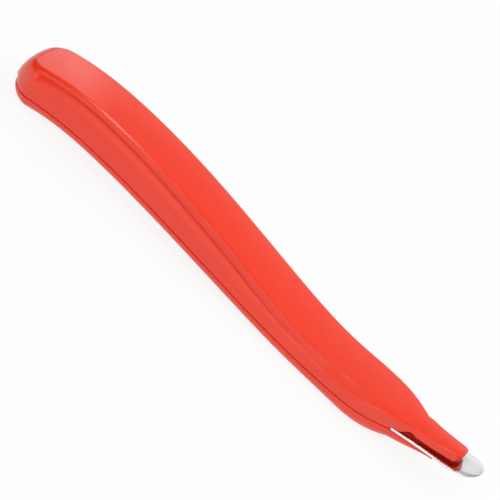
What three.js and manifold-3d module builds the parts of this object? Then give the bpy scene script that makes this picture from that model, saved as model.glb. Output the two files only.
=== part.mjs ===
// Push-style staple remover: an S-curved handle moulded as two shells that clamp a
// steel tongue, with a magnet over the tongue's root. Millimetres, +Z up, +X towards
// the blade tip. The tool lies on its heel and its butt on the plane z = 0.

import * as THREE from "three";
import Module from "manifold-3d";
import { mergeVertices } from "three/addons/utils/BufferGeometryUtils.js";

// ---- runs along the tool, from the butt to the tip ----
const RAMP_RUN = 10.6; // butt to the ramp of the hump
const HUMP_RUN = 25.5; // ramp to the crest of the hump
const WAIST_RUN = 46.5; // hump to waist
const HEEL_RUN = 31; // waist to heel, below the thumb dip
const FRONT_RUN = 31.7; // heel to the corner between flank and nose
const NOSE_LENGTH = 13.9;
const BLADE_REACH = 6.9; // bare blade ahead of the nose

// ---- other lengths along the tool ----
const BUTT_ROUND = 8.3; // rounding of the butt in plan
const BUTT_CURL = 3.9; // and of its upper edge
const NOTCH_SETBACK = 5.4; // butt to the start of the step beside the top plate
const NOTCH_RUN = 1.2;
const STEP_SETBACK = 13; // waist back to where the step starts to run out
const STEP_FADE = 50;
const BEVEL_START = 5; // waist to where the bevel starts to take the place of the step
const BEVEL_FADE = 36;
const FLANK_LENGTH = 19.3; // handle narrowing to the nose
const FLANK_FADE = 20; // in which the bevel turns into the small round of the nose
const BROW_SETBACK = 6.5;
const MOUTH_SETBACK = 4.4; // corner back to where the blade leaves the shells
const CHIN_LENGTH = 8.6; // lower shell ahead of the corner
const HEEL_REAR = 6; // flat of the heel, behind its middle
const HEEL_FRONT = 9; // and ahead of it
const BUTT_FOOT = 6.1; // butt to the line it rests on

// ---- half widths ----
const HANDLE_HALF = 9.6;
const PLATE_HALF = 7.5; // raised top plate
const NECK_HALF = 4.05; // where the flanks end, just behind the slab
const NOSE_BACK_HALF = 4.4; // nose slab at the corner
const NOSE_FRONT_HALF = 3.0; // nose slab at its front
const BUTT_FLAT_HALF = 2.3; // blunt end of the butt
const LEDGE_END = 0.95; // what is left of the ledge beside the thumb dip

// ---- heights over the resting plane ----
const BUTT_TOP = 11.5; // top line carried through to the end of the butt
const RAMP_TOP = 14.7;
const HUMP_TOP = 17.45;
const WAIST_TOP = 13.2;
const DIP_TOP = 9.6;
const BROW_TOP = 10.9;
const NOSE_TOP = 13.2; // front of the nose slab
const BUTT_END_TOP = 5.6; // upper edge of the blunt end
const BUTT_SEAM = 2.1;
const RAMP_SEAM = 4.8;
const HUMP_SEAM = 7.05;
const WAIST_SEAM = 4.7;
const HEEL_SEAM = 3.85;
const MOUTH_SEAM = 6.0;
const BUTT_BOTTOM = 1.2;
const RAMP_BOTTOM = 1.2;
const HUMP_BOTTOM = 4.0;
const WAIST_BOTTOM = 1.72;
const CHIN_DEPTH = 4.1; // lower shell under the blade, at the mouth
const CHIN_EDGE = 0.5; // and at its feathered front

// ---- cross-section of the handle ----
const CROWN = 0.35; // rise of the top plate at its middle
const RIM_ROUND = 0.7; // edge of the top plate
const BUTT_CORNER = 3.8; // soft corner round the butt, in place of plate and ledge
const TAIL_STEP = 1.9; // top plate over its ledge, behind the hump
const FULL_STEP = 2.9; // at the end of the hump
const SHOULDER_DROP = 3.2; // rolled shoulder below the ledge
const BEVEL_WIDE = 3.6; // bevel beside the thumb dip, in place of plate and ledge
const BEVEL_HIGH = 2.3;
const KEEL_ROUND = 3.0; // width of the rounded lower edge
const WALL = 1.8;
const FLOOR = 1.4; // wall under the lower shell's hollow
const SEAM_GAP = 0.3; // open joint between the shells
const FIT = 0.25; // clearance round whatever is held in a moulding

// ---- nose ----
const NOSE_THICK = 2.2; // slab at the corner
const NOSE_EDGE = 2.3; // slab at its front
const NOSE_CORNER = 1.8; // plan radius of the front corners
const NECK_RUN = 1.6; // in which the neck opens to the full slab
const WEB_SETBACK = 1.6; // web under the slab, behind the slab's edge

// ---- blade ----
const BLADE_THICK = 0.75;
const BLADE_HALF = 5.25;
const BLADE_TANG = 20; // flat root held between the shells
const BLADE_SLOPE = 0.22; // rise of the bare blade, radians
const BLADE_BEND = 120; // radius of the bend between the two
const TANG_HEIGHT = 3.07; // middle of the tang
const TIP_BEVEL = 1.5; // width of the edge ground away under the tip
const TIP_EDGE = 0.4; // thickness left at the edge

// ---- joining features ----
const PEG_R = 1.2; // pegs through the tang
const PEG_INSET = 2.8; // from either end of the tang
const PEG_RISE = 1.6; // above the tang
const BOSS_R = 2.6;
const PIN_R = 1.1;
const PIN_HEIGHT = 3;
const LIP_HEIGHT = 1.0;
const LIP_THICK = 0.8;
const RIB = 1.2;
const RIB_COUNT = 5;
const MAGNET_LENGTH = 9;
const MAGNET_HALF = 3.4;
const MAGNET_THICK = 3;

const PLASTIC = { color: 0xee3a26, roughness: 0.28, metalness: 0 };
const STEEL = { color: 0xd9dbde, roughness: 0.12, metalness: 1 };
const FERRITE = { color: 0x3a3a3c, roughness: 0.7, metalness: 0.2 };

const wasm = await Module();
wasm.setup();

// ---------- small maths ----------

const mix = (a, b, u) => a + (b - a) * u;
const clamp01 = (u) => Math.min(1, Math.max(0, u));
const ease = (u) => clamp01(u) ** 2 * (3 - 2 * clamp01(u));
const spread = (a, b, count) => Array.from({ length: count + 1 }, (_, i) => mix(a, b, i / count));
const sweep = (count) => spread(0, Math.PI / 2, count);

// Quarter of a superellipse: 0 at its start, 1 with a level tangent at its end.
const quarter = (u, power) => (1 - (1 - clamp01(u)) ** power) ** (1 / power);

// Natural cubic through [x, z] points, as a function of x.
function smoothLine(points) {
  const n = points.length;
  const [x, z] = [0, 1].map((k) => points.map((p) => p[k]));
  const bend = new Array(n).fill(0);
  const c = new Array(n).fill(0);
  const d = new Array(n).fill(0);
  for (let i = 1; i < n - 1; i++) {
    const back = x[i] - x[i - 1];
    const fore = x[i + 1] - x[i];
    const pivot = 2 * (back + fore) - back * c[i - 1];
    const turn = (z[i + 1] - z[i]) / fore - (z[i] - z[i - 1]) / back;
    c[i] = fore / pivot;
    d[i] = (6 * turn - back * d[i - 1]) / pivot;
  }
  for (let i = n - 2; i > 0; i--) {
    bend[i] = d[i] - c[i] * bend[i + 1];
  }
  return (at) => {
    let i = 0;
    while (i < n - 2 && at > x[i + 1]) {
      i++;
    }
    const h = x[i + 1] - x[i];
    const u = (at - x[i]) / h;
    const v = 1 - u;
    const curve = ((v ** 3 - v) * bend[i] + (u ** 3 - u) * bend[i + 1]) * h * h / 6;
    return v * z[i] + u * z[i + 1] + curve;
  };
}

// ---------- places along the tool ----------

const HANDLE_RUN = RAMP_RUN + HUMP_RUN + WAIST_RUN + HEEL_RUN + FRONT_RUN;
const buttX = -(HANDLE_RUN + NOSE_LENGTH + BLADE_REACH) / 2;
const rampX = buttX + RAMP_RUN;
const humpX = rampX + HUMP_RUN;
const waistX = humpX + WAIST_RUN;
const heelX = waistX + HEEL_RUN;
const cornerX = heelX + FRONT_RUN;
const noseX = cornerX + NOSE_LENGTH;
const tipX = noseX + BLADE_REACH;
const flankX = cornerX - FLANK_LENGTH;
const mouthX = cornerX - MOUTH_SETBACK;
const chinX = cornerX + CHIN_LENGTH;

// ---------- blade line ----------

const bendX = mouthX - BLADE_BEND * Math.sin(BLADE_SLOPE);
const tangX = bendX - BLADE_TANG;

const bladeAngle = (x) => Math.asin(clamp01((x - bendX) / (mouthX - bendX)) * Math.sin(BLADE_SLOPE));

function bladeMid(x) {
  const bent = BLADE_BEND * (1 - Math.cos(bladeAngle(x)));
  return TANG_HEIGHT + bent + Math.max(0, x - mouthX) * Math.tan(BLADE_SLOPE);
}

const bladeTop = (x) => bladeMid(x) + BLADE_THICK / 2 / Math.cos(bladeAngle(x));
const bladeBottom = (x) => bladeMid(x) - BLADE_THICK / 2 / Math.cos(bladeAngle(x));

// ---------- style lines of the handle ----------

const topLine = smoothLine([
  [buttX, BUTT_TOP],
  [rampX, RAMP_TOP],
  [humpX, HUMP_TOP],
  [waistX, WAIST_TOP],
  [heelX, DIP_TOP],
  [cornerX - BROW_SETBACK, BROW_TOP],
  [cornerX, BROW_TOP],
  [noseX, NOSE_TOP],
]);

const seamLine = smoothLine([
  [buttX, BUTT_SEAM],
  [rampX, RAMP_SEAM],
  [humpX, HUMP_SEAM],
  [waistX, WAIST_SEAM],
  [heelX, HEEL_SEAM],
  [mouthX, MOUTH_SEAM],
]);

const keelCurve = smoothLine([
  [buttX, BUTT_BOTTOM],
  [buttX + BUTT_FOOT, -0.1],
  [rampX, RAMP_BOTTOM],
  [humpX, HUMP_BOTTOM],
  [waistX, WAIST_BOTTOM],
  [heelX - HEEL_REAR, 0],
  [heelX + HEEL_FRONT, 0],
  [mouthX, bladeBottom(mouthX) - CHIN_DEPTH],
  [chinX, bladeBottom(chinX) - CHIN_EDGE],
]);

// The heel and the foot of the butt are flattened where they rest.
const keelLine = (x) => Math.max(0, keelCurve(x));

// Top of the handle, curled down at the butt. An inset gives a surface that much deeper.
function topAt(x, inset = 0) {
  const curl = quarter((x - buttX - inset) / (BUTT_CURL - inset), 2.6);
  return mix(BUTT_END_TOP, topLine(x), curl) - inset;
}

// Half width at the top, which narrows to the nose.
function bodyHalf(x, inset = 0) {
  const round = quarter((x - buttX - inset) / (BUTT_ROUND - inset), 1.6);
  const flank = clamp01((x - flankX) / FLANK_LENGTH) ** 1.7;
  const half = mix(BUTT_FLAT_HALF, HANDLE_HALF, round) - (HANDLE_HALF - NECK_HALF) * flank;
  return Math.max(half - inset, 0.3);
}

// Half width at the seam, which narrows sooner so that the blade comes free.
function seamHalf(x, inset = 0) {
  const flank = clamp01((x - flankX) / (mouthX - flankX)) ** 1.9;
  return mix(bodyHalf(Math.min(x, flankX), inset), BLADE_HALF, flank);
}

// Half width of the nose slab, with its rounded front corners.
function noseHalf(x) {
  const taper = mix(NOSE_BACK_HALF, NOSE_FRONT_HALF, clamp01((x - cornerX) / NOSE_LENGTH));
  const neck = (NOSE_BACK_HALF - NECK_HALF) * (1 - ease((x - cornerX) / NECK_RUN));
  const over = Math.max(0, x - (noseX - NOSE_CORNER));
  return taper - neck - NOSE_CORNER + Math.sqrt(NOSE_CORNER ** 2 - over ** 2);
}

// How far the step beside the top plate has opened, from 0 round the butt to 1.
const notch = (x) => ease((x - buttX - NOTCH_SETBACK) / NOTCH_RUN);

// Width of the ledge beside the top plate: it runs out at the butt and narrows toward the dip.
const ledgeFade = (x) => ease((x - waistX + STEP_SETBACK) / STEP_FADE);
const ledge = (x) => mix(Math.max(0.1, bodyHalf(x) - PLATE_HALF), LEDGE_END, ledgeFade(x));

// How much of the step beside the top plate there is: none round the butt nor from the dip on.
const stepped = (x) => notch(x) * (1 - ease((x - waistX - BEVEL_START) / BEVEL_FADE));

// Height of the top plate over the ledge.
const step = (x) => mix(TAIL_STEP, FULL_STEP, ease((x - rampX) / (waistX - STEP_SETBACK - rampX)));

// Underside of the slab, and the lower edge of the upper shell that sweeps up to it.
const noseUnder = (x) => topLine(x) - mix(NOSE_THICK, NOSE_EDGE, clamp01((x - cornerX) / NOSE_LENGTH));
const sweepUp = (x) => ease((x - mouthX) / MOUTH_SETBACK);
const upperFloor = (x) => mix(seamLine(Math.min(x, mouthX)), noseUnder(x), sweepUp(x));
const lowerRoof = (x) => (x > mouthX ? bladeBottom(x) - FIT : seamLine(x) - SEAM_GAP);

// ---------- solids ----------

function solid(source) {
  const bare = source.clone();
  bare.deleteAttribute("normal");
  bare.deleteAttribute("uv");
  const geometry = mergeVertices(bare, 1e-4);
  const mesh = new wasm.Mesh({
    numProp: 3,
    vertProperties: new Float32Array(geometry.attributes.position.array),
    triVerts: new Uint32Array(geometry.index.array),
  });
  return new wasm.Manifold(mesh);
}

// Closed solid through rings of [y, z] points that stand at the given stations.
function loft(stations, section) {
  const rings = stations.map((x) => section(x).map(([y, z]) => [x, y, z]));
  const size = rings[0].length;
  const index = [];
  for (let i = 0; i < rings.length - 1; i++) {
    for (let j = 0; j < size; j++) {
      const a = i * size + j;
      const b = i * size + (j + 1) % size;
      index.push(a, b, a + size, b, b + size, a + size);
    }
  }
  const outline = (ring) => ring.map(([, y, z]) => new THREE.Vector2(y, z));
  const last = (rings.length - 1) * size;
  for (const [a, b, c] of THREE.ShapeUtils.triangulateShape(outline(rings[0]), [])) {
    index.push(a, c, b);
  }
  for (const [a, b, c] of THREE.ShapeUtils.triangulateShape(outline(rings.at(-1)), [])) {
    index.push(last + a, last + b, last + c);
  }
  const geometry = new THREE.BufferGeometry();
  geometry.setAttribute("position", new THREE.Float32BufferAttribute(rings.flat(2), 3));
  geometry.setIndex(index);
  return solid(geometry);
}

// Ring from the right half of a section, listed from below to the middle of the top.
function ring(half) {
  const left = half.slice().reverse().map(([y, z]) => [-y, z]);
  const start = left[0][0] === 0 ? 1 : 0;
  const end = left.at(-1)[0] === 0 ? -1 : left.length;
  return half.concat(left.slice(start, end));
}

// Straight-sided loft between a lower and an upper line, each a function of x.
function bar(stations, half, low, high) {
  return loft(stations, (x) => ring([[half(x), low(x)], [half(x), high(x)]]));
}

function box(x0, x1, half, z0, z1) {
  const geometry = new THREE.BoxGeometry(x1 - x0, 2 * half, z1 - z0);
  geometry.translate((x0 + x1) / 2, 0, (z0 + z1) / 2);
  return solid(geometry);
}

function post(x, radius, z0, z1) {
  const geometry = new THREE.CylinderGeometry(radius, radius, z1 - z0, 20);
  geometry.rotateX(Math.PI / 2);
  geometry.translate(x, 0, (z0 + z1) / 2);
  return solid(geometry);
}

function toMesh(name, body, look) {
  const data = body.getMesh();
  const geometry = new THREE.BufferGeometry();
  geometry.setAttribute("position", new THREE.Float32BufferAttribute(data.vertProperties, 3));
  geometry.setIndex(Array.from(data.triVerts));
  geometry.computeVertexNormals();
  const mesh = new THREE.Mesh(geometry, new THREE.MeshStandardMaterial(look));
  mesh.name = name;
  return mesh;
}

// ---------- outer forms of the shells ----------

// Stations stand closer where an outline turns.
function handleStations(inset, end) {
  const round = sweep(8).map((angle) => mix(buttX + BUTT_ROUND, buttX + inset, Math.cos(angle)));
  const opening = spread(buttX + NOTCH_SETBACK, buttX + NOTCH_SETBACK + NOTCH_RUN, 3);
  const butt = [...round, ...opening].sort((a, b) => a - b);
  const body = [
    ...spread(buttX + BUTT_ROUND, humpX, 11).slice(1),
    ...spread(humpX, flankX, 22).slice(1),
    ...spread(flankX, mouthX, 9).slice(1),
  ];
  return [...butt, ...body.filter((x) => x < end - 1), end];
}

const noseStations = [
  ...spread(mouthX, cornerX, 5).slice(1),
  ...spread(cornerX, noseX - NOSE_CORNER, 6).slice(1),
  ...sweep(5).slice(1).map((angle) => noseX - NOSE_CORNER * (1 - Math.sin(angle))),
];

// Side of the upper shell with its ledge: shoulder, step and rim of the top plate.
function ledgeSide(x, half, top, floor) {
  const plate = half - ledge(x);
  const rim = Math.min(RIM_ROUND, (top - floor) * 0.35, plate * 0.6);
  const ledgeZ = top - Math.max(Math.min(step(x), (top - floor) * 0.45), rim);
  const hipZ = Math.max(ledgeZ - SHOULDER_DROP, mix(floor, ledgeZ, 0.45));
  const rolled = sweep(6).map((angle) => [
    plate + (half - plate) * Math.cos(angle),
    mix(hipZ, ledgeZ, Math.sin(angle)),
  ]);
  const rounded = sweep(4).map((angle) => [
    plate - rim * (1 - Math.cos(angle)),
    top - rim * (1 - Math.sin(angle)),
  ]);
  return [...rolled, ...rounded];
}

// The same without a ledge: a full corner at the butt, a bevel at the dip, a small round on the nose.
function cornerSide(x, half, top, floor) {
  const nose = ease((x - flankX) / FLANK_FADE);
  const [wide, high, power] = x < humpX
    ? [BUTT_CORNER, BUTT_CORNER, 0.77]
    : [mix(BEVEL_WIDE, RIM_ROUND, nose), mix(BEVEL_HIGH, RIM_ROUND, nose), mix(1.33, 1, nose)];
  const across = Math.min(wide, half * 0.8);
  const down = Math.min(high, (top - floor) * 0.7);
  return sweep(11).map((angle) => [
    half - across * (1 - Math.cos(angle) ** power),
    top - down * (1 - Math.sin(angle) ** power),
  ]);
}

function upperSection(x) {
  const half = x > cornerX ? noseHalf(x) : bodyHalf(x);
  const top = topAt(x);
  const floor = upperFloor(x);
  const foot = x > cornerX ? half : mix(half, Math.min(half, seamHalf(x)), 1 - sweepUp(x));
  const corner = cornerSide(x, half, top, floor);
  const withLedge = ledgeSide(x, half, top, floor);
  const side = corner.map((point, i) => point.map((v, k) => mix(v, withLedge[i][k], stepped(x))));
  const rimY = side.at(-1)[0];
  const crown = [0.66, 0.33, 0].map((share) => [rimY * share, top + CROWN * (1 - share ** 2)]);
  return ring([[foot, floor], ...side, ...crown]);
}

function lowerSection(x) {
  const half = seamHalf(x);
  const roof = lowerRoof(x);
  const keel = Math.min(keelLine(x), roof - CHIN_EDGE);
  const round = Math.min(KEEL_ROUND, half * 0.8);
  const points = [[0, keel]];
  for (const angle of sweep(7)) {
    points.push([half - round * (1 - Math.sin(angle)), mix(roof, keel, Math.cos(angle))]);
  }
  points.push([0, roof]);
  return ring(points);
}

// ---------- hollows, ribs and bosses ----------

const hollowEnd = tangX - FIT - WALL;
const innerStations = (inset) => handleStations(inset, hollowEnd + WALL - inset);

function upperHollow() {
  return loft(innerStations(WALL), (x) => {
    const half = bodyHalf(x, WALL);
    const plate = Math.max(half - ledge(x), half * 0.5);
    const top = topAt(x, WALL);
    const floor = seamLine(x);
    const ledgeZ = Math.max(top - Math.max(step(x) * stepped(x), RIM_ROUND), mix(floor, top, 0.4));
    const lipRoom = Math.min(floor + LIP_HEIGHT + FIT, mix(floor, ledgeZ, 0.6));
    const hipZ = Math.max(ledgeZ - SHOULDER_DROP, lipRoom);
    return ring([[half, floor - 1], [half, hipZ], [plate, ledgeZ], [plate, mix(ledgeZ, top, 0.6)],
      [plate * 0.9, top], [0, top]]);
  });
}

const deepWall = WALL + FIT + LIP_THICK;

function lowerHollow() {
  const stations = innerStations(deepWall).filter((x) => x > buttX + BUTT_ROUND - 0.01);
  return bar(stations, (x) => bodyHalf(x, deepWall), (x) => keelLine(x) + FLOOR, (x) => lowerRoof(x) + 1);
}

function lip() {
  const stand = WALL + FIT;
  const rise = (x) => seamLine(x) + LIP_HEIGHT;
  const outside = bar(innerStations(stand), (x) => bodyHalf(x, stand), (x) => lowerRoof(x) - 0.5, rise);
  const inside = bar(innerStations(deepWall), (x) => bodyHalf(x, deepWall), () => -1, (x) => rise(x) + 1);
  return outside.subtract(inside);
}

const ribXs = spread(buttX + WALL, hollowEnd, RIB_COUNT + 1).slice(1, -1);
const bossXs = [(ribXs[0] + ribXs[1]) / 2, (ribXs.at(-1) + ribXs.at(-2)) / 2];
const pegXs = [tangX + PEG_INSET, bendX - PEG_INSET];
const rib = (x, z0, z1) => box(x - RIB / 2, x + RIB / 2, HANDLE_HALF, z0, z1);

// ---------- shells ----------

const frontStations = [tangX - FIT, ...spread(bendX, mouthX, 8), ...spread(mouthX, tipX, 8).slice(1)];

function upperShell() {
  let hollow = upperHollow();
  for (const x of ribXs) {
    hollow = hollow.subtract(rib(x, seamLine(x) + LIP_HEIGHT + FIT, HUMP_TOP));
  }
  const slot = bar(frontStations, () => BLADE_HALF + FIT, () => -1, (x) => bladeTop(x) + FIT);
  const padStations = [tangX, ...spread(bendX, mouthX, 8)];
  const pad = bar(padStations, () => BLADE_HALF, (x) => bladeTop(x) + FIT, (x) => bladeTop(x) + WALL);
  const webHalf = (x) => Math.max(0.4, (x > cornerX ? noseHalf(x) : NOSE_BACK_HALF) - WEB_SETBACK);
  const webStations = [...spread(mouthX, cornerX, 3), ...spread(cornerX, noseX - WEB_SETBACK, 6).slice(1)];
  const webRoof = (x) => Math.max(upperFloor(x), bladeTop(x) + FIT) + 0.6;
  const web = bar(webStations, webHalf, (x) => bladeTop(x) + FIT, webRoof);
  let body = loft([...handleStations(0, mouthX), ...noseStations], upperSection);
  body = body.subtract(hollow).subtract(slot).add(pad).add(web);
  for (const x of bossXs) {
    body = body.add(post(x, BOSS_R, seamLine(x), topLine(x) - WALL / 2));
    body = body.subtract(post(x, PIN_R + FIT, -1, seamLine(x) + PIN_HEIGHT + FIT));
  }
  for (const x of pegXs) {
    body = body.subtract(post(x, PEG_R + FIT, -1, bladeTop(x) + PEG_RISE + FIT));
  }
  const nest = MAGNET_LENGTH / 2 + FIT;
  return body.subtract(box(magnetX - nest, magnetX + nest, MAGNET_HALF + FIT, -1, magnetTop + FIT));
}

function lowerShell() {
  let hollow = lowerHollow();
  for (const x of ribXs) {
    hollow = hollow.subtract(rib(x, -1, lowerRoof(x)));
  }
  const slot = bar(frontStations, () => BLADE_HALF + FIT, (x) => bladeBottom(x) - FIT, () => HUMP_TOP);
  let body = loft([...handleStations(0, mouthX), ...spread(mouthX, chinX, 6).slice(1)], lowerSection);
  body = body.add(lip()).subtract(hollow).subtract(slot);
  for (const x of bossXs) {
    body = body.add(post(x, BOSS_R, keelLine(x) + FLOOR / 2, lowerRoof(x)));
    body = body.add(post(x, PIN_R, keelLine(x) + FLOOR / 2, seamLine(x) + PIN_HEIGHT));
  }
  for (const x of pegXs) {
    body = body.add(post(x, PEG_R, bladeBottom(x) - FIT - 0.5, bladeTop(x) + PEG_RISE));
  }
  return body;
}

// ---------- blade and magnet ----------

const magnetX = (pegXs[0] + pegXs[1]) / 2;
const magnetBottom = TANG_HEIGHT + BLADE_THICK / 2 + FIT;
const magnetTop = magnetBottom + MAGNET_THICK;

// Strip with a round tip, ground thinner from below all round the tip.
function blade() {
  const centre = tipX - BLADE_HALF;
  const fall = BLADE_THICK - TIP_EDGE;
  const reach = (radius, x) => Math.sqrt(Math.max(radius ** 2 - Math.max(0, x - centre) ** 2, 0.04));
  const section = (x) => {
    const ground = clamp01((x - centre + TIP_BEVEL) / TIP_BEVEL);
    const past = clamp01((x - tipX + TIP_BEVEL) / TIP_BEVEL);
    const half = reach(BLADE_HALF, x);
    const flat = Math.min(reach(BLADE_HALF - TIP_BEVEL * ground, x), half - 0.05);
    const low = bladeBottom(x);
    return ring([[flat, low + fall * past], [half, low + fall * ground], [half, bladeTop(x)]]);
  };
  const stations = [tangX, ...spread(bendX, mouthX, 8), centre - TIP_BEVEL, centre,
    ...sweep(9).slice(1).map((angle) => centre + BLADE_HALF * Math.sin(angle))];
  let body = loft(stations, section);
  for (const x of pegXs) {
    body = body.subtract(post(x, PEG_R + FIT, -1, HUMP_TOP));
  }
  return body;
}

function magnet() {
  const geometry = new THREE.BoxGeometry(MAGNET_LENGTH, 2 * MAGNET_HALF, MAGNET_THICK);
  const mesh = new THREE.Mesh(geometry, new THREE.MeshStandardMaterial(FERRITE));
  mesh.position.set(magnetX, 0, (magnetBottom + magnetTop) / 2);
  mesh.name = "magnet";
  return mesh;
}

const handle = new THREE.Group();
handle.add(toMesh("upper_shell", upperShell(), PLASTIC));
handle.add(toMesh("lower_shell", lowerShell(), PLASTIC));

const tongue = new THREE.Group();
tongue.add(toMesh("blade", blade(), STEEL));
tongue.add(magnet());

const part = new THREE.Group();
part.add(handle, tongue);
export default part;
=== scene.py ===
import math

import bpy
from mathutils import Matrix, Vector


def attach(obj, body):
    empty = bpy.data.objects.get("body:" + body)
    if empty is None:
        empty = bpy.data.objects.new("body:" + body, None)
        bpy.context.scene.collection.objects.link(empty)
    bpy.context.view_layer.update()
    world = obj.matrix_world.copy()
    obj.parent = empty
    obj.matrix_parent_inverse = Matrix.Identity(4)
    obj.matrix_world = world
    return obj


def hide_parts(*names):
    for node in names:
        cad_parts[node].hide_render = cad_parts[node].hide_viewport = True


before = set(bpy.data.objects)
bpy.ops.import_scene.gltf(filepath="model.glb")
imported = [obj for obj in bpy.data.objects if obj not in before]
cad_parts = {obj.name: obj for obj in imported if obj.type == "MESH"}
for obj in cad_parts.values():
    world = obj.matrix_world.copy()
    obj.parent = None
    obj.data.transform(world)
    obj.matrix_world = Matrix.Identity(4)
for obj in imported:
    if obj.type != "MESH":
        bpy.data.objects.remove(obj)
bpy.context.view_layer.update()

MM = 0.001

# ---- runs along the tool, from the butt to the tip, in mm ----
RAMP_RUN = 10.6
HUMP_RUN = 25.5
WAIST_RUN = 46.5
HEEL_RUN = 31
FRONT_RUN = 31.7
NOSE_LENGTH = 14.2
BLADE_REACH = 6.6     # bare tongue beyond the nose

BUTT_ROUND = 8.3      # the butt rounds off over that length, seen from above
BUTT_TUCK = 0.85      # its lower edge stands that much further forward
TUCK_LAP = 0.1        # the lower shell begins that much before the end of the tuck
BUTT_LOW = 3.4        # lowest height of its very end
BUTT_CURL = 3.9       # its top curls down over that length
BUTT_FOOT = 6.1
NOTCH_SETBACK = 5.4   # start of the ledge
NOTCH_RUN = 1.7
STEP_SETBACK = 13     # the ledge narrows from that much before the waist
STEP_FADE = 50
BEVEL_START = 5       # the step turns into a bevel from that much past the waist
BEVEL_FADE = 36
FLANK_LENGTH = 19.3
FLANK_FADE = 20
BROW_SETBACK = 6.5
MOUTH_SETBACK = 4.4
CHIN_LENGTH = 8.6
HEEL_REAR = 6
HEEL_FRONT = 9
LIP_SETBACK = 1       # the lip ends that much before the hollow does
SILL_START = 2        # the sill inside the joint begins that far from the butt

# ---- half widths ----
HANDLE_HALF = 9.6
PLATE_HALF = 7.8
NECK_HALF = 4.05
NOSE_BACK_HALF = 4.4
NOSE_FRONT_HALF = 3.0
BUTT_FLAT_HALF = 3.0
LEAST_HALF = 0.3
WEB_LEAST = 0.4
LEDGE_END = 0.95      # whole width of the ledge where it has faded out
LEDGE_LEAST = 0.1

# ---- heights over the floor ----
BUTT_TOP = 11.5
RAMP_TOP = 14.7
HUMP_TOP = 17.45
WAIST_TOP = 13.2
DIP_TOP = 9.6
BROW_TOP = 10.9
NOSE_TOP = 13.2
BUTT_END_TOP = 5.6
BUTT_SEAM = 2.1
RAMP_SEAM = 4.8
HUMP_SEAM = 7.05
WAIST_SEAM = 4.7
HEEL_SEAM = 3.85
MOUTH_SEAM = 6.0
BUTT_BOTTOM = 1.2
FOOT_BOTTOM = -0.1    # pulls the curve down, so that it rests on the floor for a stretch
RAMP_BOTTOM = 0.92
HUMP_BOTTOM = 3.65
WAIST_BOTTOM = 1.3
CHIN_DEPTH = 4.1
CHIN_EDGE = 0.5

# ---- cross-section ----
CROWN = 0.175
RIM_ROUND = 0.7       # on the nose
RIM_WIDE = 1.6        # beside the step
RIM_HIGH = 1.0
BUTT_CORNER = 3.8
TAIL_STEP = 1.9
FULL_STEP = 2.9
SHOULDER_DROP = 3.0
SHOULDER_TURN = 35    # degrees of the roll of the shoulder, up to the crease
BEVEL_WIDE = 2.5
BEVEL_HIGH = 2.3
KEEL_ROUND = 3.0
WALL = 1.8
FLOOR = 1.4           # wall under the lower shell's hollow
SEAM_GAP = 0.3
FIT = 0.25
LIP_HEIGHT = 1.0
LIP_THICK = 0.8
CREASE = 0.5          # width of the groove where the ledge meets the top plate
CREASE_LEAST = 0.002
CREASE_DEPTH = 0.6    # of its width
SEAM_SILL = 0.14      # rise inside the joint where the lip is absent
PARTING_EDGE = 0.12   # softened edges along the joint of the shells

NOSE_THICK = 1.95
NOSE_EDGE = 2.0
NOSE_CORNER = 1.8
NECK_RUN = 1.6
NOSE_DRAFT = 0.4      # its sides spread that much toward its underside
NOSE_SOFT = 0.3       # rounding of the slab's front edge
WEB_SETBACK = 1.6

BLADE_THICK = 0.75
BLADE_HALF = 5.25
BLADE_TANG = 20
BLADE_SLOPE = 0.22
BLADE_BEND = 120
TANG_HEIGHT = 3.07
BLADE_SAG = 0.45      # hollow of its bare part
BLADE_SOFT = 0.04     # rounding of its edges
UNDER_SOFT = 0.4      # of that, along the ground rim
TIP_BEVEL = 1.5
TIP_LEAD = 1.0        # the grinding begins that much before the round tip and its bevel
TIP_EDGE = 0.4
TIP_LEAST = 0.05

# ---- curves: powers of their fullness ----
CURL_POWER = 2.6
ROUND_POWER = 1.6
FLANK_POWER = 1.7
SEAM_POWER = 1.9
SAG_POWER = 2.2
# corners, where 1 is round, less is squarer, and 2 is a straight bevel
BUTT_POWER = 0.77
BEVEL_POWER = 1.85

# ---- most that a form takes of the room it has ----
RIM_SHARE = 0.35      # height of the rim, of the shell's height
STEP_SHARE = 0.45     # step, of the shell's height
HIP_SHARE = 0.3       # lowest place of the shoulder, of the height up to the ledge
PLATE_SHARE = 0.6     # width of the rim, of the plate's half width
CREASE_HIGH = 0.45    # groove, of the step's upright
CREASE_WIDE = 0.4     # groove, of the ledge
CORNER_WIDE = 0.8     # corner, of the half width
CORNER_HIGH = 0.7     # corner, of the shell's height
KEEL_SHARE = 0.8      # rounding of the keel, of the half width
EDGE_WIDE = 0.2       # edge of the joint, of the half width
EDGE_HIGH = 0.3       # edge of the joint, of the lower shell's height
SLOT_SHARE = 0.96     # slot, of the half width
SLOT_FADE = 0.08      # mm over which a side wall narrows into the blade's slot
FLAT_SHARE = 0.5      # place of the inside's points where nothing is hollow, of the half width
HOLLOW_CORNER = (0.8, 0.4)      # where the inside's upper corner is cut, of its width and height
SLOT_CORNER = (0.99, 0.99)

# ---- steps of the meshes ----
SIDE_STEPS = 6
SHOULDER_STEPS = 15
CREASE_STEPS = 5
RIM_STEPS = 10
CROWN_STEPS = 12
KEEL_STEPS = 22
EDGE_STEPS = 3
SOFT_STEPS = 4
END_STEPS = 40        # round ends of the butt and of the blade
NOTCH_STEPS = 14
CORNER_STEPS = 16
BODY_FINE = 0.7       # mm between stations
NOSE_FINE = 0.4
BLADE_FINE = 1.0
TIP_FINE = 0.2
HAIR = 0.01           # stations stand this close on both sides of a jump
NEAR = 0.1            # round the notch, and at the start of the grinding
MOUTH_NEAR = 1.2      # one before the mouth
SHARP_ANGLE = 35      # degrees from which an edge is shaded sharp


# ---------- small maths ----------

def mix(a, b, u):
    return a + (b - a) * u


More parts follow.
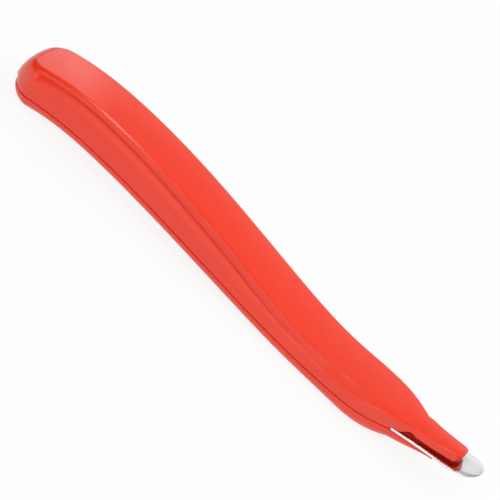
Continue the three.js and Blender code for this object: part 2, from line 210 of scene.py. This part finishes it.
def clamp01(u):
    return min(1.0, max(0.0, u))


def ease(u):
    u = clamp01(u)
    return u * u * (3 - 2 * u)


def spread(a, b, count):
    return [mix(a, b, i / count) for i in range(count + 1)]


def sweep(count):
    """Angles of a quarter turn."""
    return spread(0, math.pi / 2, count)


def quarter(u, power):
    """Rise from 0 to 1, straight with power 1, a quarter circle with 2, fuller above."""
    return (1 - (1 - clamp01(u)) ** power) ** (1 / power)


def smooth_line(points):
    """Natural cubic through (x, z) points, as a function of x."""
    n = len(points)
    x = [p[0] for p in points]
    z = [p[1] for p in points]
    bend = [0.0] * n
    c = [0.0] * n
    d = [0.0] * n
    for i in range(1, n - 1):
        back = x[i] - x[i - 1]
        fore = x[i + 1] - x[i]
        pivot = 2 * (back + fore) - back * c[i - 1]
        turn = (z[i + 1] - z[i]) / fore - (z[i] - z[i - 1]) / back
        c[i] = fore / pivot
        d[i] = (6 * turn - back * d[i - 1]) / pivot
    for i in range(n - 2, 0, -1):
        bend[i] = d[i] - c[i] * bend[i + 1]

    def at(p):
        i = 0
        while i < n - 2 and p > x[i + 1]:
            i += 1
        h = x[i + 1] - x[i]
        u = (p - x[i]) / h
        v = 1 - u
        curve = ((v ** 3 - v) * bend[i] + (u ** 3 - u) * bend[i + 1]) * h * h / 6
        return v * z[i] + u * z[i + 1] + curve

    return at


# ---------- places ----------

handle_run = RAMP_RUN + HUMP_RUN + WAIST_RUN + HEEL_RUN + FRONT_RUN
butt_x = -(handle_run + NOSE_LENGTH + BLADE_REACH) / 2
ramp_x = butt_x + RAMP_RUN
hump_x = ramp_x + HUMP_RUN
waist_x = hump_x + WAIST_RUN
heel_x = waist_x + HEEL_RUN
corner_x = heel_x + FRONT_RUN
nose_x = corner_x + NOSE_LENGTH
tip_x = nose_x + BLADE_REACH
flank_x = corner_x - FLANK_LENGTH
mouth_x = corner_x - MOUTH_SETBACK
chin_x = corner_x + CHIN_LENGTH
bend_x = mouth_x - BLADE_BEND * math.sin(BLADE_SLOPE)
tang_x = bend_x - BLADE_TANG
hollow_end = tang_x - FIT - WALL
lip_end = hollow_end - LIP_SETBACK
round_x = tip_x - BLADE_HALF
grind_x = round_x - TIP_BEVEL - TIP_LEAD


def blade_angle(x):
    return math.asin(clamp01((x - bend_x) / (mouth_x - bend_x)) * math.sin(BLADE_SLOPE))


def blade_mid(x):
    bent = BLADE_BEND * (1 - math.cos(blade_angle(x)))
    out = clamp01((x - mouth_x) / (tip_x - mouth_x)) ** SAG_POWER
    sag = BLADE_SAG * math.sin(math.pi * out) ** 2
    return TANG_HEIGHT + bent + max(0, x - mouth_x) * math.tan(BLADE_SLOPE) - sag


def blade_top(x):
    return blade_mid(x) + BLADE_THICK / 2 / math.cos(blade_angle(x))


def blade_bottom(x):
    return blade_mid(x) - BLADE_THICK / 2 / math.cos(blade_angle(x))


top_line = smooth_line([
    (butt_x, BUTT_TOP), (ramp_x, RAMP_TOP), (hump_x, HUMP_TOP), (waist_x, WAIST_TOP),
    (heel_x, DIP_TOP), (corner_x - BROW_SETBACK, BROW_TOP), (corner_x, BROW_TOP), (nose_x, NOSE_TOP),
])
seam_line = smooth_line([
    (butt_x, BUTT_SEAM), (ramp_x, RAMP_SEAM), (hump_x, HUMP_SEAM), (waist_x, WAIST_SEAM),
    (heel_x, HEEL_SEAM), (mouth_x, MOUTH_SEAM),
])
keel_curve = smooth_line([
    (butt_x, BUTT_BOTTOM), (butt_x + BUTT_FOOT, FOOT_BOTTOM), (ramp_x, RAMP_BOTTOM), (hump_x, HUMP_BOTTOM),
    (waist_x, WAIST_BOTTOM), (heel_x - HEEL_REAR, 0), (heel_x + HEEL_FRONT, 0),
    (mouth_x, blade_bottom(mouth_x) - CHIN_DEPTH), (chin_x, blade_bottom(chin_x) - CHIN_EDGE),
])


def keel_line(x):
    return max(0, keel_curve(x))


def top_at(x, inset=0):
    """Top of the body, or of the hollow that stands inset inside it."""
    curl = quarter((x - butt_x - inset) / (BUTT_CURL - inset), CURL_POWER)
    return mix(BUTT_END_TOP, top_line(x), curl) - inset


def body_half(x, inset=0):
    """Half width of the body, or of the hollow that stands inset inside it."""
    round_off = quarter((x - butt_x - inset) / (BUTT_ROUND - inset), ROUND_POWER)
    flank = clamp01((x - flank_x) / FLANK_LENGTH) ** FLANK_POWER
    half = mix(BUTT_FLAT_HALF, HANDLE_HALF, round_off) - (HANDLE_HALF - NECK_HALF) * flank
    return max(half - inset, LEAST_HALF)


def seam_half(x):
    """Half width at the parting line: tucked in at the butt, as wide as the tongue at the mouth."""
    flank = clamp01((x - flank_x) / (mouth_x - flank_x)) ** SEAM_POWER
    tucked = max(butt_x, x - BUTT_TUCK * (1 - clamp01((x - butt_x) / BUTT_ROUND)))
    return mix(body_half(min(tucked, flank_x)), BLADE_HALF, flank)


def nose_half(x):
    taper = mix(NOSE_BACK_HALF, NOSE_FRONT_HALF, clamp01((x - corner_x) / NOSE_LENGTH))
    taper -= (NOSE_BACK_HALF - NECK_HALF) * (1 - ease((x - corner_x) / NECK_RUN))
    over = max(0, x - (nose_x - NOSE_CORNER))
    return taper - NOSE_CORNER + math.sqrt(max(0, NOSE_CORNER ** 2 - over ** 2))


def ledge(x):
    fade = ease((x - waist_x + STEP_SETBACK) / STEP_FADE)
    return mix(max(LEDGE_LEAST, body_half(x) - PLATE_HALF), LEDGE_END, fade)


def stepped(x):
    """How much of the step beside the top plate there is: none round the butt nor from the dip on."""
    notch = ease((x - butt_x - NOTCH_SETBACK) / NOTCH_RUN)
    return notch * (1 - ease((x - waist_x - BEVEL_START) / BEVEL_FADE))


def step(x):
    return mix(TAIL_STEP, FULL_STEP, ease((x - ramp_x) / (waist_x - STEP_SETBACK - ramp_x)))


def nose_under(x):
    return top_line(x) - mix(NOSE_THICK, NOSE_EDGE, clamp01((x - corner_x) / NOSE_LENGTH))


def sweep_up(x):
    return ease((x - mouth_x) / MOUTH_SETBACK)


def upper_floor(x):
    return mix(seam_line(min(x, mouth_x)), nose_under(x), sweep_up(x))


def lower_roof(x):
    return blade_bottom(x) - FIT if x > mouth_x else seam_line(x) - SEAM_GAP


def wall_gone(foot):
    """1 where the side wall has narrowed into the blade's slot."""
    return clamp01((BLADE_HALF + FIT - foot) / SLOT_FADE)


# ---------- meshes ----------

def loft(name, stations, section):
    """Closed mesh through rings of (y, z) points in mm; each section gives its right half, from below up."""
    verts = []
    faces = []
    size = 0
    for x in stations:
        half = section(x)
        ring = half + [(-y, z) for y, z in reversed(half[1:-1])]
        size = len(ring)
        verts += [Vector((x, y, z)) * MM for y, z in ring]
    count = len(stations)
    for i in range(count - 1):
        for j in range(size):
            a = i * size + j
            b = i * size + (j + 1) % size
            faces.append((a, b, b + size, a + size))
    # caps: strips between the two sides of the end rings
    for base, flip in ((0, True), ((count - 1) * size, False)):
        right = [base + j for j in range(size // 2 + 1)]
        left = [base + (size - j) % size for j in range(size // 2 + 1)]
        for j in range(size // 2):
            quad = [right[j], right[j + 1], left[j + 1], left[j]]
            quad = [v for k, v in enumerate(quad) if v not in quad[:k]]
            faces.append(tuple(reversed(quad)) if flip else tuple(quad))
    mesh = bpy.data.meshes.new(name)
    mesh.from_pydata(verts, [], faces)
    mesh.validate()
    for poly in mesh.polygons:
        poly.use_smooth = True
    mesh.set_sharp_from_angle(angle=math.radians(SHARP_ANGLE))
    obj = bpy.data.objects.new(name, mesh)
    bpy.context.scene.collection.objects.link(obj)
    return obj


def stations_between(marks, fine):
    """Stations no further apart than fine, with every mark kept."""
    marks = sorted(marks)
    out = [marks[0]]
    for a, b in zip(marks, marks[1:]):
        if b - a > 1e-6:
            out += spread(a, b, max(1, math.ceil((b - a) / fine)))[1:]
    return out


def ledge_side(x, half, top, floor, base):
    """Side of the upper shell with its ledge: flank, shoulder, creased step and rim of the top plate."""
    plate = half - ledge(x)
    rim = min(RIM_HIGH, (top - floor) * RIM_SHARE)
    wide = min(RIM_WIDE, plate * PLATE_SHARE)
    ledge_z = top - max(min(step(x), (top - floor) * STEP_SHARE), rim)
    hip_z = max(ledge_z - SHOULDER_DROP, mix(floor, ledge_z, HIP_SHARE))
    upright = top - rim - ledge_z
    groove = max(CREASE_LEAST, min(CREASE, CREASE_HIGH * upright, CREASE_WIDE * (half - plate)))
    points = [(mix(base[0], half, u), mix(base[1], hip_z, u)) for u in spread(0, 1, SIDE_STEPS)[1:-1]]
    reach = half - plate - groove
    turn = math.radians(SHOULDER_TURN)
    for a in spread(0, turn, SHOULDER_STEPS):
        out = (math.cos(a) - math.cos(turn)) / (1 - math.cos(turn))
        points.append((plate + groove + reach * out, mix(hip_z, ledge_z, math.sin(a) / math.sin(turn))))
    for u in spread(0, 1, CREASE_STEPS)[1:]:
        points.append((plate + groove * (1 - u), ledge_z - 4 * CREASE_DEPTH * groove * u * (1 - u)))
    points += [(plate, mix(ledge_z, top - rim, u)) for u in (1 / 3, 2 / 3)]
    for a in sweep(RIM_STEPS):
        points.append((plate - wide * (1 - math.cos(a)), top - rim * (1 - math.sin(a))))
    return points


def corner_side(x, half, top, floor, base, count):
    """The same without a ledge: a full corner at the butt, a bevel at the dip, a small round on the nose."""
    at_butt = x < hump_x
    nose = ease((x - flank_x) / FLANK_FADE)
    if at_butt:
        wide, high, power = BUTT_CORNER, BUTT_CORNER, BUTT_POWER
    else:
        wide, high = mix(BEVEL_WIDE, RIM_ROUND, nose), mix(BEVEL_HIGH, RIM_ROUND, nose)
        power = mix(BEVEL_POWER, 1, nose)
    across = min(wide, half * CORNER_WIDE)
    down = min(high, (top - floor) * CORNER_HIGH)
    points = []
    for u in spread(0, 1, SIDE_STEPS)[1:-1]:
        bulge = 1 - (1 - u) ** 2 if at_butt else u
        points.append((mix(base[0], half, bulge), mix(base[1], top - down, u)))
    for a in sweep(count - len(points) - 1):
        c, s = max(0.0, math.cos(a)), max(0.0, math.sin(a))
        points.append((half - across * (1 - c ** power), top - down * (1 - s ** power)))
    return points


def upper_inside(x, half, foot, floor, held):
    """The shell's inside from the middle outwards: hollow, room for the tongue, or the nose's web."""
    corner = SLOT_CORNER
    if x <= butt_x + WALL:
        wide, roof = foot * FLAT_SHARE, floor
        corner = HOLLOW_CORNER
    elif x < hollow_end:
        wide, roof = body_half(x, WALL), top_at(x, WALL)
        corner = HOLLOW_CORNER
    elif x < tang_x - FIT:
        wide, roof = BLADE_HALF, floor
    elif x < mouth_x:
        wide, roof = min(BLADE_HALF + FIT, foot * SLOT_SHARE), held
    else:
        wide = max(WEB_LEAST, half - WEB_SETBACK)
        roof = held if x < nose_x - WEB_SETBACK else floor
    return [(0, roof), (wide * corner[0], roof), (wide, mix(floor, roof, corner[1])), (wide, floor)]


def upper_section(x):
    on_nose = x > corner_x
    half = nose_half(x) if on_nose else body_half(x)
    front = clamp01((x - nose_x + NOSE_SOFT) / NOSE_SOFT)
    top = top_at(x) - NOSE_SOFT * (1 - math.sqrt(max(0, 1 - front ** 2)))
    floor = upper_floor(x)
    if x < butt_x + BUTT_TUCK:
        floor = mix(BUTT_LOW, floor, quarter((x - butt_x) / BUTT_TUCK, 2))
    foot = half + NOSE_DRAFT * ease((x - mouth_x) / (corner_x - mouth_x))
    if not on_nose:
        foot = mix(foot, min(half, seam_half(x)), 1 - sweep_up(x))
    held = blade_top(x) + FIT
    if x > tang_x and wall_gone(foot) > 0:
        floor = mix(floor, max(floor, held), wall_gone(foot) if x < mouth_x else 1)
    edge = min(PARTING_EDGE, foot * EDGE_WIDE)

    points = upper_inside(x, half, foot, floor, held) + [(foot - edge, floor)]
    for a in sweep(EDGE_STEPS)[1:]:
        points.append((foot - edge * (1 - math.sin(a)), floor + edge * (1 - math.cos(a))))
    with_ledge = ledge_side(x, half, top, floor, points[-1])
    corner = corner_side(x, half, top, floor, points[-1], len(with_ledge))
    share = stepped(x)
    points += [(mix(p[0], q[0], share), mix(p[1], q[1], share)) for p, q in zip(corner, with_ledge)]
    rim_y = points[-1][0]
    for share in reversed(spread(0, 1, CROWN_STEPS)[:-1]):
        points.append((rim_y * share, top + CROWN * (1 - share ** 2)))
    return points


def lower_section(x):
    half = seam_half(x)
    roof = lower_roof(x)
    bed = blade_bottom(x) - FIT
    if tang_x < x <= mouth_x:
        roof = mix(roof, min(roof, bed), wall_gone(half))
    keel = min(keel_line(x), roof - CHIN_EDGE)
    keel_round = min(KEEL_ROUND, half * KEEL_SHARE)
    edge = min(PARTING_EDGE, half * EDGE_WIDE, (roof - keel) * EDGE_HIGH)
    points = [(0, keel), ((half - keel_round) * FLAT_SHARE, keel)]
    for a in sweep(KEEL_STEPS):
        points.append((half - keel_round * (1 - math.sin(a)), mix(roof - edge, keel, math.cos(a))))
    for a in sweep(EDGE_STEPS)[1:]:
        points.append((half - edge * (1 - math.cos(a)), roof - edge * (1 - math.sin(a))))
    # inside: lip and hollow, bed of the tongue, or solid
    if butt_x + BUTT_ROUND < x < lip_end:
        stand, deep = body_half(x, WALL + FIT), body_half(x, WALL + FIT + LIP_THICK)
        rise, bottom = seam_line(x) + LIP_HEIGHT, keel + FLOOR
    elif tang_x - FIT < x < mouth_x:
        stand = deep = min(BLADE_HALF + FIT, half * SLOT_SHARE)
        rise, bottom = roof, bed
    else:
        stand = deep = half * FLAT_SHARE
        sill = SEAM_SILL if butt_x + SILL_START < x < tang_x - FIT else 0
        rise = bottom = roof + sill
    return points + [(stand, roof), (stand, rise), (deep, rise), (deep, bottom), (0, bottom)]


def handle_stations():
    """Stations from the butt to the mouth, close together at the butt, the notch and each jump."""
    rounded = [mix(butt_x + BUTT_ROUND, butt_x, math.cos(a)) for a in sweep(END_STEPS)]
    notch_x = butt_x + NOTCH_SETBACK
    opening = spread(notch_x - NEAR, notch_x + NOTCH_RUN + NEAR, NOTCH_STEPS)
    butt = sorted(set(rounded + opening))
    marks = [butt[-1], ramp_x, flank_x, mouth_x - MOUTH_NEAR, mouth_x - HAIR]
    for jump in (lip_end, hollow_end, tang_x - FIT):
        marks += [jump - HAIR, jump + HAIR]
    return butt + stations_between(marks, BODY_FINE)[1:]


upper = loft(
    "upper_shell_fine",
    handle_stations()
    + stations_between([mouth_x + HAIR, corner_x, nose_x - NOSE_CORNER], NOSE_FINE)
    + [nose_x - NOSE_CORNER * (1 - math.sin(a)) for a in sweep(CORNER_STEPS)[1:]],
    upper_section,
)
lower = loft(
    "lower_shell_fine",
    [x for x in handle_stations() if x > butt_x + BUTT_TUCK - TUCK_LAP]
    + stations_between([mouth_x + HAIR, chin_x], NOSE_FINE),
    lower_section,
)


def tip_half(radius, x):
    """Half width at x of the round tip, or of a smaller circle about the same centre."""
    over = max(0, x - round_x)
    return math.sqrt(max(radius ** 2 - over ** 2, TIP_LEAST ** 2))


def blade_section(x):
    """Strip with softened edges and a round tip, ground thinner from below all round it."""
    ground = ease((x - grind_x) / (round_x - grind_x))
    past = clamp01((x - tip_x + TIP_BEVEL) / TIP_BEVEL)
    half = tip_half(BLADE_HALF, x)
    flat = min(tip_half(BLADE_HALF - TIP_BEVEL * ground, x), half - BLADE_SOFT)
    low, high = blade_bottom(x), blade_top(x)
    fall = BLADE_THICK - TIP_EDGE
    rim_low = low + fall * ground
    inner = low + fall * past
    points = [(0, inner), (flat / 2, inner), (flat, inner), ((flat + half) / 2, (inner + rim_low) / 2)]
    under = BLADE_SOFT * UNDER_SOFT
    for a in sweep(EDGE_STEPS):
        points.append((half - under * (1 - math.sin(a)), rim_low + under * (1 - math.cos(a))))
    for a in sweep(SOFT_STEPS):
        points.append((half - BLADE_SOFT * (1 - math.cos(a)), high - BLADE_SOFT * (1 - math.sin(a))))
    points += [(half / 2, high), (0, high)]
    return [(max(0, y), z) for y, z in points]


tongue = loft(
    "blade_fine",
    stations_between([tang_x, bend_x, mouth_x, grind_x], BLADE_FINE)
    + stations_between([grind_x + NEAR, round_x], TIP_FINE)
    + [tip_x - BLADE_HALF * (1 - math.sin(a)) for a in sweep(END_STEPS)[1:]],
    blade_section,
)


# ---------- materials ----------

NOISE_LOW, NOISE_HIGH = 0.3, 0.7
PLASTIC_IOR = 1.55


def linear(r, g, b):
    """Colour as it shows on a screen, 0 to 255, in Blender's linear values."""
    def one(v):
        v /= 255
        return v / 12.92 if v <= 0.04045 else ((v + 0.055) / 1.055) ** 2.4
    return (one(r), one(g), one(b), 1)


def new_material(name):
    mat = bpy.data.materials.new(name)
    mat.use_nodes = True
    tree = mat.node_tree
    return mat, tree, tree.nodes["Principled BSDF"].inputs


def noise(tree, scale, detail, stretch=None):
    """Noise over the piece, per metre, drawn out along the axes where stretch is small."""
    source = tree.nodes.new("ShaderNodeTexCoord").outputs["Object"]
    node = tree.nodes.new("ShaderNodeTexNoise")
    node.inputs["Scale"].default_value = scale
    node.inputs["Detail"].default_value = detail
    if stretch:
        mapping = tree.nodes.new("ShaderNodeMapping")
        mapping.inputs["Scale"].default_value = stretch
        tree.links.new(source, mapping.inputs["Vector"])
        source = mapping.outputs["Vector"]
    tree.links.new(source, node.inputs["Vector"])
    return node.outputs["Fac"]


def ramp(tree, source, stops):
    node = tree.nodes.new("ShaderNodeValToRGB")
    elements = node.color_ramp.elements
    while len(elements) < len(stops):
        elements.new(0.5)
    for element, (place, colour) in zip(elements, stops):
        element.position = place
        element.color = colour
    tree.links.new(source, node.inputs["Fac"])
    return node.outputs["Color"]


def grey(v):
    return (v, v, v, 1)


def vary(tree, source, least, most, socket):
    """Lets a noise move a socket between two values."""
    tree.links.new(ramp(tree, source, [(NOISE_LOW, least), (NOISE_HIGH, most)]), socket)


def roughen(tree, height, strength, distance, socket):
    """Fine relief, distance in metres."""
    bump = tree.nodes.new("ShaderNodeBump")
    bump.inputs["Strength"].default_value = strength
    bump.inputs["Distance"].default_value = distance
    tree.links.new(height, bump.inputs["Height"])
    tree.links.new(bump.outputs["Normal"], socket)


def red_plastic():
    """Glossy moulding, a little uneven in tone and gloss."""
    mat, tree, sockets = new_material("gloss_red_plastic")
    tone = noise(tree, scale=60, detail=3)
    vary(tree, tone, linear(237, 52, 21), linear(240, 56, 24), sockets["Base Color"])
    gloss = noise(tree, scale=900, detail=3)
    vary(tree, gloss, grey(0.22), grey(0.27), sockets["Roughness"])
    sockets["IOR"].default_value = PLASTIC_IOR
    roughen(tree, noise(tree, scale=2500, detail=2), 0.04, 0.00002, sockets["Normal"])
    return mat


def polished_steel():
    """Steel with a fine grain along the tongue."""
    mat, tree, sockets = new_material("polished_steel")
    sockets["Metallic"].default_value = 1
    grain = noise(tree, scale=1500, detail=3, stretch=(0.04, 1, 1))
    vary(tree, grain, linear(232, 233, 235), linear(242, 243, 245), sockets["Base Color"])
    vary(tree, grain, grey(0.12), grey(0.16), sockets["Roughness"])
    roughen(tree, grain, 0.03, 0.00001, sockets["Normal"])
    return mat


def ferrite():
    """Dull, dark and grainy."""
    mat, tree, sockets = new_material("ferrite")
    grain = noise(tree, scale=3000, detail=4)
    vary(tree, grain, linear(52, 52, 54), linear(66, 66, 68), sockets["Base Color"])
    vary(tree, grain, grey(0.6), grey(0.8), sockets["Roughness"])
    return mat


plastic = red_plastic()
for piece, node in ((upper, "upper_shell"), (lower, "lower_shell")):
    piece.data.materials.append(plastic)
    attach(piece, "root")
    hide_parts(node)
tongue.data.materials.append(polished_steel())
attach(tongue, "root")
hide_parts("blade")
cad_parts["magnet"].material_slots[0].material = ferrite()


# ---------- floor, light and camera, in metres ----------

FLOOR_WHITE = 0.88
FLOOR_GREY = 0.85
FLOOR_HALF = 12.0
FLOOR_SINK = 0.00005

# brightness by the angle over the object, in degrees from the front over the top to the back
STUDIO = [(0, 1.2), (33, 1.1), (46, 0.25), (68, 0.12), (84, 0.2), (105, 0.3), (122, 0.36), (143, 0.4),
          (148, 0.95), (180, 1.0)]
# the ends of the studio: where the direction's x passes from one value to the other, and how bright
# it is at each, as a share of the brightness above
LEFT_WALL = {"From Min": -0.52, "From Max": -0.4, "To Min": 0.2, "To Max": 1}
RIGHT_WALL = {"From Min": 0.1, "From Max": 0.8, "To Min": 1, "To Max": 0.35}

SENSOR = 36
LENS = 242.06
SHIFT = (-0.0044, 0.0286)
CLIP_START = 0.01
CAMERA_ANGLES = (9.6, 38, 38)     # azimuth, elevation and roll in degrees
CAMERA_AWAY = 0.9
CAMERA_AIM = (0.00005, -0.0005, 0.00956)


def maths(tree, operation, first, second):
    """Output of a Math node for two sockets or numbers."""
    node = tree.nodes.new("ShaderNodeMath")
    node.operation = operation
    for socket, value in zip(node.inputs, (first, second)):
        if isinstance(value, bpy.types.NodeSocket):
            tree.links.new(value, socket)
        else:
            socket.default_value = value
    return node.outputs[0]


def seen_directly(tree):
    """1 for rays of the camera and for mirror and glass rays, 0 for the light that falls on the object."""
    path = tree.nodes.new("ShaderNodeLightPath")
    total = path.outputs["Is Camera Ray"]
    for name in ("Is Glossy Ray", "Is Transmission Ray"):
        total = maths(tree, "MAXIMUM", total, path.outputs[name])
    return total


def floor_material():
    """Pale floor, which looks white itself and keeps a faint shadow."""
    mat = bpy.data.materials.new("floor_white")
    mat.use_nodes = True
    tree = mat.node_tree
    tree.nodes.clear()
    out = tree.nodes.new("ShaderNodeOutputMaterial")
    diffuse = tree.nodes.new("ShaderNodeBsdfDiffuse")
    diffuse.inputs["Color"].default_value = grey(FLOOR_GREY)
    emit = tree.nodes.new("ShaderNodeEmission")
    emit.inputs["Strength"].default_value = 1
    blend = tree.nodes.new("ShaderNodeMixShader")
    tree.links.new(maths(tree, "MULTIPLY", seen_directly(tree), FLOOR_WHITE), blend.inputs[0])
    tree.links.new(diffuse.outputs[0], blend.inputs[1])
    tree.links.new(emit.outputs[0], blend.inputs[2])
    tree.links.new(blend.outputs[0], out.inputs["Surface"])
    return mat


def make_floor():
    mesh = bpy.data.meshes.new("floor")
    r = FLOOR_HALF
    mesh.from_pydata([(-r, -r, 0), (r, -r, 0), (r, r, 0), (-r, r, 0)], [], [(0, 1, 2, 3)])
    obj = bpy.data.objects.new("floor", mesh)
    bpy.context.scene.collection.objects.link(obj)
    obj.location.z = -FLOOR_SINK
    obj.data.materials.append(floor_material())


def area_light(name, centre, size, radiance, diffuse=True, glossy=True):
    """Soft panel at the given place that faces the object, of an even brightness."""
    data = bpy.data.lights.new(name, "AREA")
    data.shape = "RECTANGLE"
    data.size, data.size_y = size
    data.energy = radiance * math.pi * size[0] * size[1]
    obj = bpy.data.objects.new(name, data)
    bpy.context.scene.collection.objects.link(obj)
    obj.location = centre
    obj.rotation_mode = "QUATERNION"
    obj.rotation_quaternion = Vector(centre).to_track_quat("Z", "Y")
    obj.visible_diffuse = diffuse
    obj.visible_glossy = glossy


def side_wall(tree, across, settings):
    """Darkens one end of the studio."""
    node = tree.nodes.new("ShaderNodeMapRange")
    node.interpolation_type = "SMOOTHSTEP"
    for name, value in settings.items():
        node.inputs[name].default_value = value
    tree.links.new(across, node.inputs["Value"])
    return node.outputs["Result"]


def make_world():
    """Studio walls: a ramp of brightness from the front over the top to the back, darker at its ends."""
    world = bpy.data.worlds.new("studio")
    bpy.context.scene.world = world
    world.use_nodes = True
    tree = world.node_tree
    where = tree.nodes.new("ShaderNodeTexCoord")
    split = tree.nodes.new("ShaderNodeSeparateXYZ")
    tree.links.new(where.outputs["Generated"], split.inputs[0])
    front = maths(tree, "MULTIPLY", split.outputs["Y"], -1)
    angle = maths(tree, "ARCTAN2", split.outputs["Z"], front)
    share = maths(tree, "DIVIDE", angle, math.pi)
    colour = ramp(tree, share, [(degrees / 180, grey(v)) for degrees, v in STUDIO])
    walls = [side_wall(tree, split.outputs["X"], wall) for wall in (RIGHT_WALL, LEFT_WALL)]
    back = tree.nodes["Background"]
    tree.links.new(colour, back.inputs["Color"])
    tree.links.new(maths(tree, "MULTIPLY", *walls), back.inputs["Strength"])


def make_camera():
    """The photograph's view: aimed at the middle of the object, and rolled."""
    data = bpy.data.cameras.new("camera")
    data.sensor_width = SENSOR
    data.lens = LENS
    data.shift_x, data.shift_y = SHIFT
    data.clip_start = CLIP_START
    cam = bpy.data.objects.new("camera", data)
    bpy.context.scene.collection.objects.link(cam)
    azimuth, elevation, roll = (math.radians(v) for v in CAMERA_ANGLES)
    flat = math.cos(elevation)
    back = Vector((math.sin(azimuth) * flat, -math.cos(azimuth) * flat, math.sin(elevation)))
    right = Vector((math.cos(azimuth), math.sin(azimuth), 0))
    up = back.cross(right)
    side = right * math.cos(roll) + up * math.sin(roll)
    head = up * math.cos(roll) - right * math.sin(roll)
    turn = Matrix((side, head, back)).transposed().to_4x4()
    cam.matrix_world = Matrix.Translation(Vector(CAMERA_AIM) + back * CAMERA_AWAY) @ turn
    bpy.context.scene.camera = cam


bpy.context.scene.view_settings.view_transform = "Standard"
make_floor()
make_world()
# name, place, size, radiance
area_light("overhead", (-0.24, -0.03, 0.75), (0.66, 0.06), 10.0)
area_light("back_left", (-0.575, 0.6, 0.42), (0.44, 0.62), 1.35, diffuse=False)
area_light("back_right", (0.5, 0.35, 0.75), (0.8, 0.8), 2.45, glossy=False)
area_light("fill", (0.05, -0.65, 1.0), (1.3, 1.3), 1.22, glossy=False)
make_camera()

bpy.context.view_layer.update()
